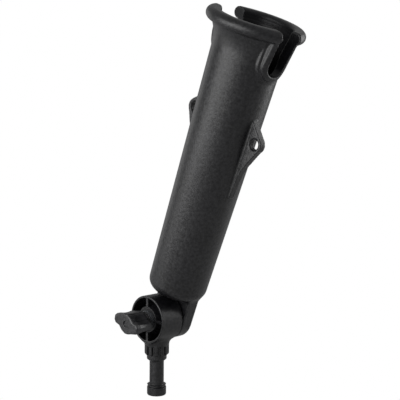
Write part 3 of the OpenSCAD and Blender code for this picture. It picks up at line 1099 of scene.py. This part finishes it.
@dataclass
class WingKnob:
    """The two-winged knob with its stepped hub."""

    face_x: float = -38.0
    body_x: float = -19.4
    hub_x: float = -15.2
    ring_pitch: float = 1.9
    ring_h: float = 0.55
    flange_x: float = -13.7
    hub_r: float = 6.8
    flange_r: float = 7.6
    tilt: float = 6.0
    core_r: float = 8.8
    core_join: float = 2.0
    waist: float = 0.9
    waist_from: float = 5.0
    waist_h: float = 14.0
    face_round: float = 1.6
    back_round: float = 1.0
    hub_sink: float = 3.0
    hub_join: float = 0.5
    flange_edge: float = 0.35
    flange_join: float = 0.3
    dimple_edge: float = 0.4
    dimple_r: float = 2.8
    dimple_h: float = 1.2
    insert_r: float = 4.7
    insert_x: float = -33.0
    wing: tuple[tuple[float, float], ...] = ((-1, 8.7), (3, 8.8), (13.4, 6.2), (15.4, 4.4), (15.8, 0.2),
                                             (14, -2.6), (8, -3.9), (0, -8))
    made: list[bpy.types.Object] = field(default_factory=list)

    def outline(self, y: Array, z: Array) -> Array:
        """Distance to the face's outline: a round core and one wing, repeated by a half turn.

        Args:
            y: Positions towards the back.
            z: Positions upwards.

        Returns:
            Distance, negative inside the outline.
        """
        t = math.radians(self.tilt)
        u, v = y * math.cos(t) + z * math.sin(t), z * math.cos(t) - y * math.sin(t)
        wings = np.minimum(polygon_distance(u, v, self.wing), polygon_distance(-u, -v, self.wing))
        return soft_union(wings, np.hypot(u, v) - self.core_r, self.core_join)

    def solid(self, x: Array, y: Array, z: Array) -> Array:
        """Distance to the knob: its outline drawn out along the hinge's axis, with hub and flange.

        Half a sine wave draws the waist in, and a full one makes the hub's rings.

        Args:
            x: Positions along the hinge's axis.
            y: Positions towards the back.
            z: Positions upwards.

        Returns:
            Distance, negative inside.
        """
        r = np.hypot(y, z)
        along = np.clip((x - self.face_x - self.waist_from) / self.waist_h, 0.0, 1.0)
        waist = self.waist * np.sin(along * math.pi)
        body = round_meet(self.outline(y, z) + waist, self.face_x - x, self.face_round)
        body = round_meet(body, x - self.body_x, self.back_round)
        rings = self.ring_h * np.sin((x - self.hub_x) / self.ring_pitch * 2.0 * math.pi)
        hub = np.maximum(r - self.hub_r - rings,
                         np.maximum(self.body_x - self.hub_sink - x, x - self.hub_x - 0.5))
        middle, half = (self.hub_x + self.flange_x) / 2, (self.flange_x - self.hub_x) / 2
        flange = round_meet(r - self.flange_r, np.abs(x - middle) - half, self.flange_edge)
        solid = soft_union(soft_union(body, hub, self.hub_join), flange, self.flange_join)
        dimple = np.maximum(r - self.dimple_r, x - self.face_x - self.dimple_h)
        solid = round_cut(solid, dimple, self.dimple_edge)
        hole = np.maximum(r - self.insert_r, self.insert_x - x)
        return np.maximum(solid, -hole)

    def build(self) -> None:
        """Makes the knob."""
        xs = steps((self.face_x - 1.0, self.flange_x + 1.0, 0.45))
        ys = steps((-17.5, 17.5, 0.5))
        zs = steps((-11.5, 11.5, 0.5))
        self.made.append(Skin.of(self.solid, xs, ys, zs).piece("knob_moulding"))

    def dress(self) -> None:
        """Puts a slightly smoother nylon on the knob and lets it ride on the knob's body."""
        nylon = GrainedNylon("satin_nylon_knob", pale="#242427", grain_mm=0.6, mottle_mm=2.5,
                             rough_high=0.44, gloss_low=0.5, gloss_high=0.75, grain_depth_mm=0.04,
                             mottle_depth_mm=0.08).make()
        for made in self.made:
            dress(made, nylon)
            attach(made, "knob")
            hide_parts("wing_knob")
            report(made)


# Hardware ---------------------------------------------------------------------------------------


@dataclass(frozen=True)
class Hardware:
    """The bolt, washers, spring and insert, which keep their own shapes."""

    def dress(self) -> None:
        """Puts each part's metal or plastic on it."""
        plated = TurnedMetal("zinc_plated_steel", "#b9bcc0", "#8f9397").make()
        wire = TurnedMetal("drawn_stainless_wire", "#b4b6b8", "#8c8e90", rough=0.25, ring_mm=0.2).make()
        brass = TurnedMetal("turned_brass", "#c7a24f", "#9c7a34", rough=0.28).make()
        acetal = MouldedAcetal("moulded_acetal").make()
        for name, material in (("hinge_bolt", plated), ("knob_washer", plated), ("release_spring", wire),
                               ("knob_insert", brass), ("thrust_washer", acetal)):
            dress(frame["nodes"][name], material)
            report(frame["nodes"][name])


# Studio -----------------------------------------------------------------------------------------


@dataclass(frozen=True)
class SoftBox:
    """A rectangular studio light, aimed at a point; places are in metres from the hinge."""

    name: str
    place: tuple[float, float, float]
    target: tuple[float, float, float]
    size: tuple[float, float]
    watts: float

    def make(self) -> None:
        """Adds the light."""
        lamp = bpy.data.lights.new(self.name, "AREA")
        lamp.shape = "RECTANGLE"
        lamp.size, lamp.size_y = self.size
        lamp.energy = self.watts
        holder = stand(self.name, lamp)
        start, end = Vector(self.place), Vector(self.target)
        holder.location = start + Vector(HINGE)
        holder.rotation_euler = (start - end).to_track_quat("Z", "Y").to_euler()


@dataclass
class Studio:
    """Pale floor, white surroundings, soft lights and the camera.

    The camera's offsets and distance are in millimetres, the floor's sizes in metres.
    """

    azimuth: float = -44.87
    elevation: float = 6.02
    roll: float = 0.63
    focal_mm: float = 82.74
    sensor_mm: float = 36.0
    aim_right: float = 39.28
    aim_up: float = 107.23
    distance: float = 840.1
    floor_z: float = -0.0055
    floor_r: float = 6.0
    floor_corners: int = 96
    world_light: float = 0.34

    def camera(self) -> None:
        """Adds the camera.

        Its back axis comes from its azimuth and elevation, its up axis is turned by the roll, and it
        stands back from a point beside and above the hinge's centre.
        """
        az, el, ro = (math.radians(v) for v in (self.azimuth, self.elevation, self.roll))
        back = Vector((math.sin(az) * math.cos(el), -math.cos(az) * math.cos(el), math.sin(el)))
        right = Vector((math.cos(az), math.sin(az), 0.0))
        up = back.cross(right)
        across = right * math.cos(ro) + up * math.sin(ro)
        rise = up * math.cos(ro) - right * math.sin(ro)
        place = Vector(HINGE) + (across * self.aim_right + rise * self.aim_up + back * self.distance) * MM
        data = bpy.data.cameras.new("camera")
        data.lens, data.sensor_width = self.focal_mm, self.sensor_mm
        data.clip_start, data.clip_end = 0.01, 100.0
        made = stand("camera", data)
        turn = Matrix((across, rise, back)).transposed()
        made.matrix_world = Matrix.Translation(place) @ turn.to_4x4()
        bpy.context.scene.camera = made

    def floor(self) -> None:
        """Adds a round floor of white paper, lit so evenly that it shows no edge."""
        n = self.floor_corners
        a = np.arange(n) * 2 * math.pi / n
        rim = np.stack([np.cos(a), np.sin(a), np.zeros(n)], 1) * self.floor_r
        rim[:, 2] = self.floor_z
        mesh = bpy.data.meshes.new("studio_floor")
        mesh.from_pydata(rim.tolist(), [], [list(range(n))])
        made = stand("studio_floor", mesh)
        material, tree = blank_material("white_paper_sweep")
        seen = add_node(tree, "ShaderNodeLightPath").outputs["Is Camera Ray"]
        paper = add_node(tree, "ShaderNodeBsdfDiffuse", {"Color": linear("#c8c8c8")})
        white = add_node(tree, "ShaderNodeEmission", {"Color": (1, 1, 1, 1), "Strength": 1.0})
        mixed = add_node(tree, "ShaderNodeMixShader", {0: seen, 1: paper.outputs[0], 2: white.outputs[0]})
        add_node(tree, "ShaderNodeOutputMaterial", {"Surface": mixed.outputs[0]})
        made.data.materials.append(material)

    def surroundings(self) -> None:
        """White to the camera, dimmer as a light, so that the object keeps its contrast."""
        world = bpy.data.worlds.new("studio")
        bpy.context.scene.world = world
        world.use_nodes = True
        tree = world.node_tree
        tree.nodes.clear()
        seen = add_node(tree, "ShaderNodeLightPath").outputs["Is Camera Ray"]
        light = add_node(tree, "ShaderNodeBackground", {"Color": (1, 1, 1, 1),
                                                        "Strength": self.world_light})
        white = add_node(tree, "ShaderNodeBackground", {"Color": (1, 1, 1, 1), "Strength": 1.0})
        mixed = add_node(tree, "ShaderNodeMixShader", {0: seen, 1: light.outputs[0], 2: white.outputs[0]})
        add_node(tree, "ShaderNodeOutputWorld", {"Surface": mixed.outputs[0]})

    def lights(self) -> None:
        """Adds the softboxes: a large key, two weak fills and one that draws the shaded edge."""
        SoftBox("key_left", (-0.9, 0.04, 0.24), (0.0, -0.03, 0.10), (1.15, 0.8), 8.8).make()
        SoftBox("low_left", (-0.64, 0.64, 0.03), (0.0, -0.03, 0.05), (0.6, 0.18), 0.55).make()
        SoftBox("fill_back_left", (0.08, 1.0, 0.3), (0.0, -0.03, 0.10), (0.5, 0.9), 0.8).make()
        SoftBox("edge_right", (0.75, -0.35, 0.25), (0.0, -0.03, 0.12), (0.45, 0.8), 3.0).make()

    def build(self) -> None:
        """Sets the whole studio up."""
        bpy.context.scene.view_settings.view_transform = "Standard"
        self.camera()
        self.floor()
        self.surroundings()
        self.lights()


def main() -> None:
    """Builds the studio and the object's sub-assemblies, in order."""
    logging.basicConfig(level=logging.INFO, format="%(name)s: %(message)s")
    hinge = Hinge()
    Studio().build()
    for assembly in (TubeMoulding(hinge), PostMoulding(hinge), WingKnob()):
        assembly.build()
        assembly.dress()
    Hardware().dress()


if __name__ == "__main__":
    main()
